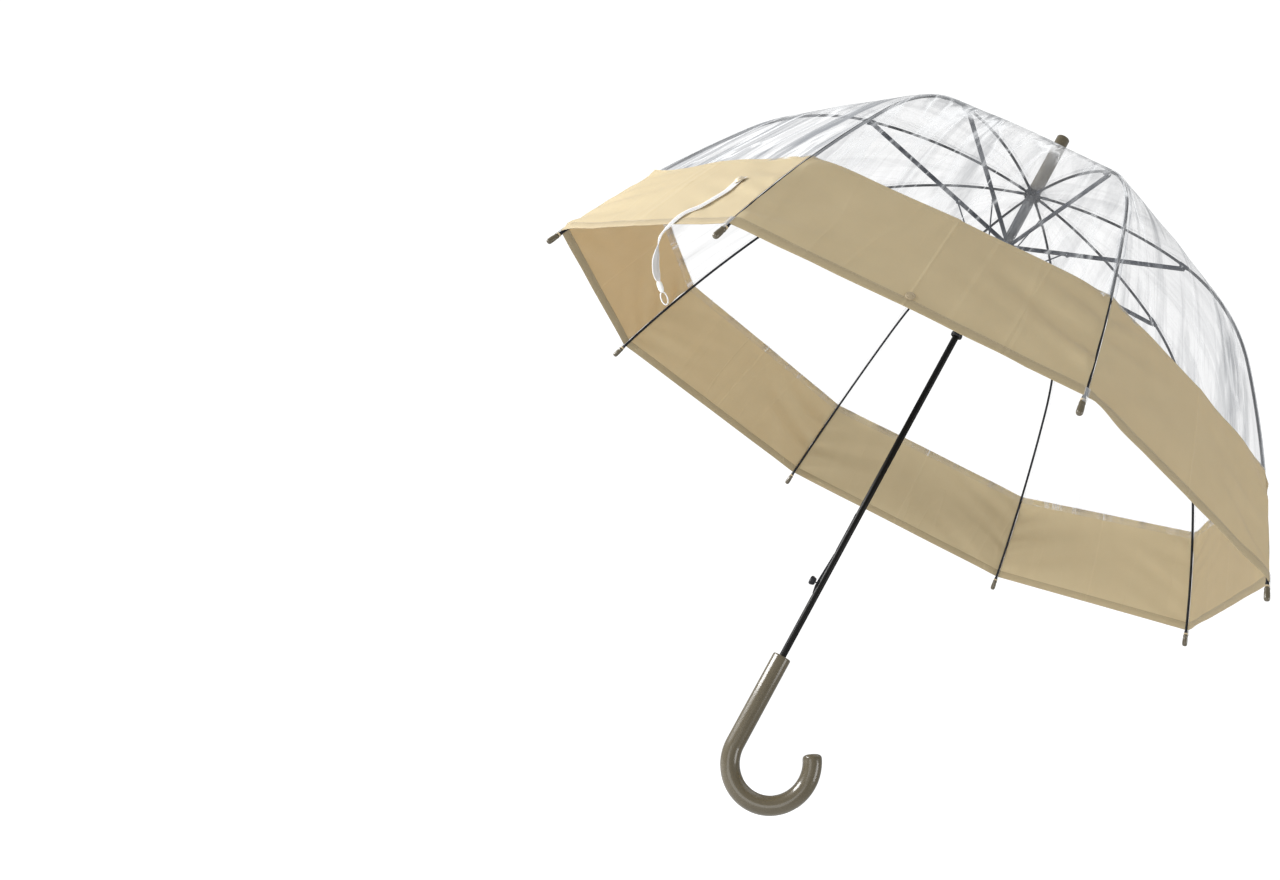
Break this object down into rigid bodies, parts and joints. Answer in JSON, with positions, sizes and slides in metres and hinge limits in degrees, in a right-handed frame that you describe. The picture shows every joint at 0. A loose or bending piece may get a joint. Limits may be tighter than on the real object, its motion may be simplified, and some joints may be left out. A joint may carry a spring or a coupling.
{
  "type": "clear bubble umbrella",
  "caption": "Stick umbrella: deep dome of clear film with a fabric border, ribs, stretchers, spring, push-knob catch, tie strap and J handle; it folds.",
  "frame": {"origin": "middle of the handle's straight grip, on the shaft's axis", "axes": "+Z along the shaft towards the ferrule; +X towards the handle's hook; ribs at 22.5 degrees and every 45 degrees from there about Z"},
  "size_m": [0.8494, 0.8494, 0.9043],
  "materials": {
    "clear_film": "clear soft vinyl film, glossy, with fine creases",
    "strap_film": "milky clear vinyl strap with a white bead and loop",
    "border_fabric": "fine plain-weave khaki-beige polyester, matt, lets some light through",
    "black_fibre": "black coated fibre rib, satin",
    "black_steel": "black coated steel, gloss",
    "black_plastic": "black moulded plastic, satin",
    "olive_gloss": "olive-taupe moulded plastic, high gloss",
    "spring_steel": "dark oiled spring wire",
    "pale_plastic": "beige plastic press stud"
  },
  "bodies": {
    "frame": {"shaft": "black_steel", "handle": "olive_gloss", "ferrule": "olive_gloss", "top_notch": "black_plastic", "crown_patch": "clear_film", "open_spring": "spring_steel"},
    "hand_runner_body": {"hand_runner": "black_plastic"},
    "upper_runner_body": {"upper_runner": "black_plastic"},
    "catch_body": {"catch": "black_plastic"},
    "rib_inner_body_1": {"rib_inner_1": "black_fibre"},
    "rib_outer_body_1": {"rib_outer_1": "black_fibre"},
    "stretcher_body_1": {"stretcher_1": "black_steel"},
    "wire_body_1": {"wire_1": "black_steel"},
    "rib_inner_body_2": {"rib_inner_2": "black_fibre"},
    "rib_outer_body_2": {"rib_outer_2": "black_fibre"},
    "stretcher_body_2": {"stretcher_2": "black_steel"},
    "wire_body_2": {"wire_2": "black_steel"},
    "rib_inner_body_3": {"rib_inner_3": "black_fibre"},
    "rib_outer_body_3": {"rib_outer_3": "black_fibre"},
    "stretcher_body_3": {"stretcher_3": "black_steel"},
    "wire_body_3": {"wire_3": "black_steel"},
    "rib_inner_body_4": {"rib_inner_4": "black_fibre"},
    "rib_outer_body_4": {"rib_outer_4": "black_fibre"},
    "stretcher_body_4": {"stretcher_4": "black_steel"},
    "wire_body_4": {"wire_4": "black_steel"},
    "rib_inner_body_5": {"rib_inner_5": "black_fibre"},
    "rib_outer_body_5": {"rib_outer_5": "black_fibre"},
    "stretcher_body_5": {"stretcher_5": "black_steel"},
    "wire_body_5": {"wire_5": "black_steel"},
    "rib_inner_body_6": {"rib_inner_6": "black_fibre"},
    "rib_outer_body_6": {"rib_outer_6": "black_fibre"},
    "stretcher_body_6": {"stretcher_6": "black_steel"},
    "wire_body_6": {"wire_6": "black_steel"},
    "rib_inner_body_7": {"rib_inner_7": "black_fibre"},
    "rib_outer_body_7": {"rib_outer_7": "black_fibre"},
    "stretcher_body_7": {"stretcher_7": "black_steel"},
    "wire_body_7": {"wire_7": "black_steel"},
    "rib_inner_body_8": {"rib_inner_8": "black_fibre"},
    "rib_outer_body_8": {"rib_outer_8": "black_fibre"},
    "stretcher_body_8": {"stretcher_8": "black_steel"},
    "wire_body_8": {"wire_8": "black_steel"},
    "film_body_1": {"film_panel_1": "clear_film"},
    "band_body_1": {"band_panel_1": "border_fabric"},
    "film_body_2": {"film_panel_2": "clear_film"},
    "band_body_2": {"band_panel_2": "border_fabric"},
    "film_body_3": {"film_panel_3": "clear_film"},
    "band_body_3": {"band_panel_3": "border_fabric"},
    "film_body_4": {"film_panel_4": "clear_film"},
    "band_body_4": {"band_panel_4": "border_fabric"},
    "film_body_5": {"film_panel_5": "clear_film"},
    "band_body_5": {"band_panel_5": "border_fabric", "tie_strap": "strap_film", "strap_snap": "olive_gloss"},
    "film_body_6": {"film_panel_6": "clear_film"},
    "band_body_6": {"band_panel_6": "border_fabric", "press_stud": "pale_plastic"},
    "film_body_7": {"film_panel_7": "clear_film"},
    "band_body_7": {"band_panel_7": "border_fabric"},
    "film_body_8": {"film_panel_8": "clear_film"},
    "band_body_8": {"band_panel_8": "border_fabric"}
  },
  "joints": [
    {"name": "hand_runner_slide", "type": "slide", "parent": "frame", "child": "hand_runner_body", "axis": [0, 0, -1], "range_m": [0, 0.3252], "stiffness_N_per_m": 40, "springref_m": -0.2},
    {"name": "upper_runner_slide", "type": "slide", "parent": "frame", "child": "upper_runner_body", "axis": [0, 0, -1], "range_m": [0, 0.358], "deforming": ["open_spring"]},
    {"name": "rib_hinge_1", "type": "hinge", "parent": "frame", "child": "rib_inner_body_1", "pos_m": [0.00739, 0.00306, 0.7068], "axis": [-0.3827, 0.9239, 0], "range_deg": [0, 70.3]},
    {"name": "rib_flex_1", "type": "hinge", "parent": "rib_inner_body_1", "child": "rib_outer_body_1", "pos_m": [0.25694, 0.10643, 0.62878], "axis": [0.3827, -0.9239, 0], "range_deg": [0, 44.83]},
    {"name": "stretcher_hinge_1", "type": "hinge", "parent": "upper_runner_body", "child": "stretcher_body_1", "pos_m": [0.00605, 0.0063, 0.63], "axis": [0.3827, -0.9239, 0], "range_deg": [0, 75.52]},
    {"name": "wire_hinge_1", "type": "hinge", "parent": "hand_runner_body", "child": "wire_body_1", "pos_m": [0.00862, 0.004, 0.5766], "axis": [0.3827, -0.9239, 0], "range_deg": [0, 44]},
    {"name": "rib_hinge_2", "type": "hinge", "parent": "frame", "child": "rib_inner_body_2", "pos_m": [0.00306, 0.00739, 0.7068], "axis": [-0.9239, 0.3827, 0], "range_deg": [0, 70.3]},
    {"name": "rib_flex_2", "type": "hinge", "parent": "rib_inner_body_2", "child": "rib_outer_body_2", "pos_m": [0.10643, 0.25694, 0.62878], "axis": [0.9239, -0.3827, 0], "range_deg": [0, 44.83]},
    {"name": "stretcher_hinge_2", "type": "hinge", "parent": "upper_runner_body", "child": "stretcher_body_2", "pos_m": [-0.00017, 0.00873, 0.63], "axis": [0.9239, -0.3827, 0], "range_deg": [0, 75.52]},
    {"name": "wire_hinge_2", "type": "hinge", "parent": "hand_runner_body", "child": "wire_body_2", "pos_m": [0.00327, 0.00893, 0.5766], "axis": [0.9239, -0.3827, 0], "range_deg": [0, 44]},
    {"name": "rib_hinge_3", "type": "hinge", "parent": "frame", "child": "rib_inner_body_3", "pos_m": [-0.00306, 0.00739, 0.7068], "axis": [-0.9239, -0.3827, 0], "range_deg": [0, 70.3]},
    {"name": "rib_flex_3", "type": "hinge", "parent": "rib_inner_body_3", "child": "rib_outer_body_3", "pos_m": [-0.10643, 0.25694, 0.62878], "axis": [0.9239, 0.3827, 0], "range_deg": [0, 44.83]},
    {"name": "stretcher_hinge_3", "type": "hinge", "parent": "upper_runner_body", "child": "stretcher_body_3", "pos_m": [-0.0063, 0.00605, 0.63], "axis": [0.9239, 0.3827, 0], "range_deg": [0, 75.52]},
    {"name": "wire_hinge_3", "type": "hinge", "parent": "hand_runner_body", "child": "wire_body_3", "pos_m": [-0.004, 0.00862, 0.5766], "axis": [0.9239, 0.3827, 0], "range_deg": [0, 44]},
    {"name": "rib_hinge_4", "type": "hinge", "parent": "frame", "child": "rib_inner_body_4", "pos_m": [-0.00739, 0.00306, 0.7068], "axis": [-0.3827, -0.9239, 0], "range_deg": [0, 70.3]},
    {"name": "rib_flex_4", "type": "hinge", "parent": "rib_inner_body_4", "child": "rib_outer_body_4", "pos_m": [-0.25694, 0.10643, 0.62878], "axis": [0.3827, 0.9239, 0], "range_deg": [0, 44.83]},
    {"name": "stretcher_hinge_4", "type": "hinge", "parent": "upper_runner_body", "child": "stretcher_body_4", "pos_m": [-0.00873, -0.00017, 0.63], "axis": [0.3827, 0.9239, 0], "range_deg": [0, 75.52]},
    {"name": "wire_hinge_4", "type": "hinge", "parent": "hand_runner_body", "child": "wire_body_4", "pos_m": [-0.00893, 0.00327, 0.5766], "axis": [0.3827, 0.9239, 0], "range_deg": [0, 44]},
    {"name": "rib_hinge_5", "type": "hinge", "parent": "frame", "child": "rib_inner_body_5", "pos_m": [-0.00739, -0.00306, 0.7068], "axis": [0.3827, -0.9239, 0], "range_deg": [0, 70.3]},
    {"name": "rib_flex_5", "type": "hinge", "parent": "rib_inner_body_5", "child": "rib_outer_body_5", "pos_m": [-0.25694, -0.10643, 0.62878], "axis": [-0.3827, 0.9239, 0], "range_deg": [0, 44.83]},
    {"name": "stretcher_hinge_5", "type": "hinge", "parent": "upper_runner_body", "child": "stretcher_body_5", "pos_m": [-0.00605, -0.0063, 0.63], "axis": [-0.3827, 0.9239, 0], "range_deg": [0, 75.52]},
    {"name": "wire_hinge_5", "type": "hinge", "parent": "hand_runner_body", "child": "wire_body_5", "pos_m": [-0.00862, -0.004, 0.5766], "axis": [-0.3827, 0.9239, 0], "range_deg": [0, 44]},
    {"name": "rib_hinge_6", "type": "hinge", "parent": "frame", "child": "rib_inner_body_6", "pos_m": [-0.00306, -0.00739, 0.7068], "axis": [0.9239, -0.3827, 0], "range_deg": [0, 70.3]},
    {"name": "rib_flex_6", "type": "hinge", "parent": "rib_inner_body_6", "child": "rib_outer_body_6", "pos_m": [-0.10643, -0.25694, 0.62878], "axis": [-0.9239, 0.3827, 0], "range_deg": [0, 44.83]},
    {"name": "stretcher_hinge_6", "type": "hinge", "parent": "upper_runner_body", "child": "stretcher_body_6", "pos_m": [0.00017, -0.00873, 0.63], "axis": [-0.9239, 0.3827, 0], "range_deg": [0, 75.52]},
    {"name": "wire_hinge_6", "type": "hinge", "parent": "hand_runner_body", "child": "wire_body_6", "pos_m": [-0.00327, -0.00893, 0.5766], "axis": [-0.9239, 0.3827, 0], "range_deg": [0, 44]},
    {"name": "rib_hinge_7", "type": "hinge", "parent": "frame", "child": "rib_inner_body_7", "pos_m": [0.00306, -0.00739, 0.7068], "axis": [0.9239, 0.3827, 0], "range_deg": [0, 70.3]},
    {"name": "rib_flex_7", "type": "hinge", "parent": "rib_inner_body_7", "child": "rib_outer_body_7", "pos_m": [0.10643, -0.25694, 0.62878], "axis": [-0.9239, -0.3827, 0], "range_deg": [0, 44.83]},
    {"name": "stretcher_hinge_7", "type": "hinge", "parent": "upper_runner_body", "child": "stretcher_body_7", "pos_m": [0.0063, -0.00605, 0.63], "axis": [-0.9239, -0.3827, 0], "range_deg": [0, 75.52]},
    {"name": "wire_hinge_7", "type": "hinge", "parent": "hand_runner_body", "child": "wire_body_7", "pos_m": [0.004, -0.00862, 0.5766], "axis": [-0.9239, -0.3827, 0], "range_deg": [0, 44]},
    {"name": "rib_hinge_8", "type": "hinge", "parent": "frame", "child": "rib_inner_body_8", "pos_m": [0.00739, -0.00306, 0.7068], "axis": [0.3827, 0.9239, 0], "range_deg": [0, 70.3]},
    {"name": "rib_flex_8", "type": "hinge", "parent": "rib_inner_body_8", "child": "rib_outer_body_8", "pos_m": [0.25694, -0.10643, 0.62878], "axis": [-0.3827, -0.9239, 0], "range_deg": [0, 44.83]},
    {"name": "stretcher_hinge_8", "type": "hinge", "parent": "upper_runner_body", "child": "stretcher_body_8", "pos_m": [0.00873, 0.00017, 0.63], "axis": [-0.3827, -0.9239, 0], "range_deg": [0, 75.52]},
    {"name": "wire_hinge_8", "type": "hinge", "parent": "hand_runner_body", "child": "wire_body_8", "pos_m": [0.00893, -0.00327, 0.5766], "axis": [-0.3827, -0.9239, 0], "range_deg": [0, 44]},
    {"name": "film_hinge_1", "type": "hinge", "parent": "frame", "child": "film_body_1", "pos_m": [0.00523, 0.00523, 0.7068], "axis": [-0.7071, 0.7071, 0], "range_deg": [0, 68.3], "deforming": ["film_panel_1"]},
    {"name": "band_flex_1", "type": "hinge", "parent": "film_body_1", "child": "band_body_1", "pos_m": [0.18169, 0.18169, 0.62878], "axis": [0.7071, -0.7071, 0], "range_deg": [0, 44.33], "deforming": ["band_panel_1"]},
    {"name": "film_hinge_2", "type": "hinge", "parent": "frame", "child": "film_body_2", "pos_m": [0, 0.00739, 0.7068], "axis": [-1, 0, 0], "range_deg": [0, 68.3], "deforming": ["film_panel_2"]},
    {"name": "band_flex_2", "type": "hinge", "parent": "film_body_2", "child": "band_body_2", "pos_m": [0, 0.25694, 0.62878], "axis": [1, 0, 0], "range_deg": [0, 44.33], "deforming": ["band_panel_2"]},
    {"name": "film_hinge_3", "type": "hinge", "parent": "frame", "child": "film_body_3", "pos_m": [-0.00523, 0.00523, 0.7068], "axis": [-0.7071, -0.7071, 0], "range_deg": [0, 68.3], "deforming": ["film_panel_3"]},
    {"name": "band_flex_3", "type": "hinge", "parent": "film_body_3", "child": "band_body_3", "pos_m": [-0.18169, 0.18169, 0.62878], "axis": [0.7071, 0.7071, 0], "range_deg": [0, 44.33], "deforming": ["band_panel_3"]},
    {"name": "film_hinge_4", "type": "hinge", "parent": "frame", "child": "film_body_4", "pos_m": [-0.00739, 0, 0.7068], "axis": [0, -1, 0], "range_deg": [0, 68.3], "deforming": ["film_panel_4"]},
    {"name": "band_flex_4", "type": "hinge", "parent": "film_body_4", "child": "band_body_4", "pos_m": [-0.25694, 0, 0.62878], "axis": [0, 1, 0], "range_deg": [0, 44.33], "deforming": ["band_panel_4"]},
    {"name": "film_hinge_5", "type": "hinge", "parent": "frame", "child": "film_body_5", "pos_m": [-0.00523, -0.00523, 0.7068], "axis": [0.7071, -0.7071, 0], "range_deg": [0, 68.3], "deforming": ["film_panel_5"]},
    {"name": "band_flex_5", "type": "hinge", "parent": "film_body_5", "child": "band_body_5", "pos_m": [-0.18169, -0.18169, 0.62878], "axis": [-0.7071, 0.7071, 0], "range_deg": [0, 44.33], "deforming": ["band_panel_5", "tie_strap"]},
    {"name": "film_hinge_6", "type": "hinge", "parent": "frame", "child": "film_body_6", "pos_m": [0, -0.00739, 0.7068], "axis": [1, 0, 0], "range_deg": [0, 68.3], "deforming": ["film_panel_6"]},
    {"name": "band_flex_6", "type": "hinge", "parent": "film_body_6", "child": "band_body_6", "pos_m": [0, -0.25694, 0.62878], "axis": [-1, 0, 0], "range_deg": [0, 44.33], "deforming": ["band_panel_6"]},
    {"name": "film_hinge_7", "type": "hinge", "parent": "frame", "child": "film_body_7", "pos_m": [0.00523, -0.00523, 0.7068], "axis": [0.7071, 0.7071, 0], "range_deg": [0, 68.3], "deforming": ["film_panel_7"]},
    {"name": "band_flex_7", "type": "hinge", "parent": "film_body_7", "child": "band_body_7", "pos_m": [0.18169, -0.18169, 0.62878], "axis": [-0.7071, -0.7071, 0], "range_deg": [0, 44.33], "deforming": ["band_panel_7"]},
    {"name": "film_hinge_8", "type": "hinge", "parent": "frame", "child": "film_body_8", "pos_m": [0.00739, 0, 0.7068], "axis": [0, 1, 0], "range_deg": [0, 68.3], "deforming": ["film_panel_8"]},
    {"name": "band_flex_8", "type": "hinge", "parent": "film_body_8", "child": "band_body_8", "pos_m": [0.25694, 0, 0.62878], "axis": [0, -1, 0], "range_deg": [0, 44.33], "deforming": ["band_panel_8"]},
    {"name": "catch_press", "type": "slide", "parent": "frame", "child": "catch_body", "axis": [1, 0, 0], "range_m": [0, 0.0035], "stiffness_N_per_m": 600, "springref_m": -0.002}
  ],
  "couplings": [
    {"joint": "upper_runner_slide", "follows": "hand_runner_slide", "ratio": 1.0965},
    {"joint": "rib_hinge_1", "follows": "hand_runner_slide", "rad_per_m": 3.7569},
    {"joint": "rib_flex_1", "follows": "hand_runner_slide", "rad_per_m": 2.3901},
    {"joint": "stretcher_hinge_1", "follows": "hand_runner_slide", "rad_per_m": 4.0372},
    {"joint": "wire_hinge_1", "follows": "hand_runner_slide", "rad_per_m": 2.3454},
    {"joint": "rib_hinge_2", "follows": "hand_runner_slide", "rad_per_m": 3.7569},
    {"joint": "rib_flex_2", "follows": "hand_runner_slide", "rad_per_m": 2.3901},
    {"joint": "stretcher_hinge_2", "follows": "hand_runner_slide", "rad_per_m": 4.0372},
    {"joint": "wire_hinge_2", "follows": "hand_runner_slide", "rad_per_m": 2.3454},
    {"joint": "rib_hinge_3", "follows": "hand_runner_slide", "rad_per_m": 3.7569},
    {"joint": "rib_flex_3", "follows": "hand_runner_slide", "rad_per_m": 2.3901},
    {"joint": "stretcher_hinge_3", "follows": "hand_runner_slide", "rad_per_m": 4.0372},
    {"joint": "wire_hinge_3", "follows": "hand_runner_slide", "rad_per_m": 2.3454},
    {"joint": "rib_hinge_4", "follows": "hand_runner_slide", "rad_per_m": 3.7569},
    {"joint": "rib_flex_4", "follows": "hand_runner_slide", "rad_per_m": 2.3901},
    {"joint": "stretcher_hinge_4", "follows": "hand_runner_slide", "rad_per_m": 4.0372},
    {"joint": "wire_hinge_4", "follows": "hand_runner_slide", "rad_per_m": 2.3454},
    {"joint": "rib_hinge_5", "follows": "hand_runner_slide", "rad_per_m": 3.7569},
    {"joint": "rib_flex_5", "follows": "hand_runner_slide", "rad_per_m": 2.3901},
    {"joint": "stretcher_hinge_5", "follows": "hand_runner_slide", "rad_per_m": 4.0372},
    {"joint": "wire_hinge_5", "follows": "hand_runner_slide", "rad_per_m": 2.3454},
    {"joint": "rib_hinge_6", "follows": "hand_runner_slide", "rad_per_m": 3.7569},
    {"joint": "rib_flex_6", "follows": "hand_runner_slide", "rad_per_m": 2.3901},
    {"joint": "stretcher_hinge_6", "follows": "hand_runner_slide", "rad_per_m": 4.0372},
    {"joint": "wire_hinge_6", "follows": "hand_runner_slide", "rad_per_m": 2.3454},
    {"joint": "rib_hinge_7", "follows": "hand_runner_slide", "rad_per_m": 3.7569},
    {"joint": "rib_flex_7", "follows": "hand_runner_slide", "rad_per_m": 2.3901},
    {"joint": "stretcher_hinge_7", "follows": "hand_runner_slide", "rad_per_m": 4.0372},
    {"joint": "wire_hinge_7", "follows": "hand_runner_slide", "rad_per_m": 2.3454},
    {"joint": "rib_hinge_8", "follows": "hand_runner_slide", "rad_per_m": 3.7569},
    {"joint": "rib_flex_8", "follows": "hand_runner_slide", "rad_per_m": 2.3901},
    {"joint": "stretcher_hinge_8", "follows": "hand_runner_slide", "rad_per_m": 4.0372},
    {"joint": "wire_hinge_8", "follows": "hand_runner_slide", "rad_per_m": 2.3454},
    {"joint": "film_hinge_1", "follows": "hand_runner_slide", "rad_per_m": 3.6495},
    {"joint": "band_flex_1", "follows": "hand_runner_slide", "rad_per_m": 2.3631},
    {"joint": "film_hinge_2", "follows": "hand_runner_slide", "rad_per_m": 3.6495},
    {"joint": "band_flex_2", "follows": "hand_runner_slide", "rad_per_m": 2.3631},
    {"joint": "film_hinge_3", "follows": "hand_runner_slide", "rad_per_m": 3.6495},
    {"joint": "band_flex_3", "follows": "hand_runner_slide", "rad_per_m": 2.3631},
    {"joint": "film_hinge_4", "follows": "hand_runner_slide", "rad_per_m": 3.6495},
    {"joint": "band_flex_4", "follows": "hand_runner_slide", "rad_per_m": 2.3631},
    {"joint": "film_hinge_5", "follows": "hand_runner_slide", "rad_per_m": 3.6495},
    {"joint": "band_flex_5", "follows": "hand_runner_slide", "rad_per_m": 2.3631},
    {"joint": "film_hinge_6", "follows": "hand_runner_slide", "rad_per_m": 3.6495},
    {"joint": "band_flex_6", "follows": "hand_runner_slide", "rad_per_m": 2.3631},
    {"joint": "film_hinge_7", "follows": "hand_runner_slide", "rad_per_m": 3.6495},
    {"joint": "band_flex_7", "follows": "hand_runner_slide", "rad_per_m": 2.3631},
    {"joint": "film_hinge_8", "follows": "hand_runner_slide", "rad_per_m": 3.6495},
    {"joint": "band_flex_8", "follows": "hand_runner_slide", "rad_per_m": 2.3631}
  ]
}
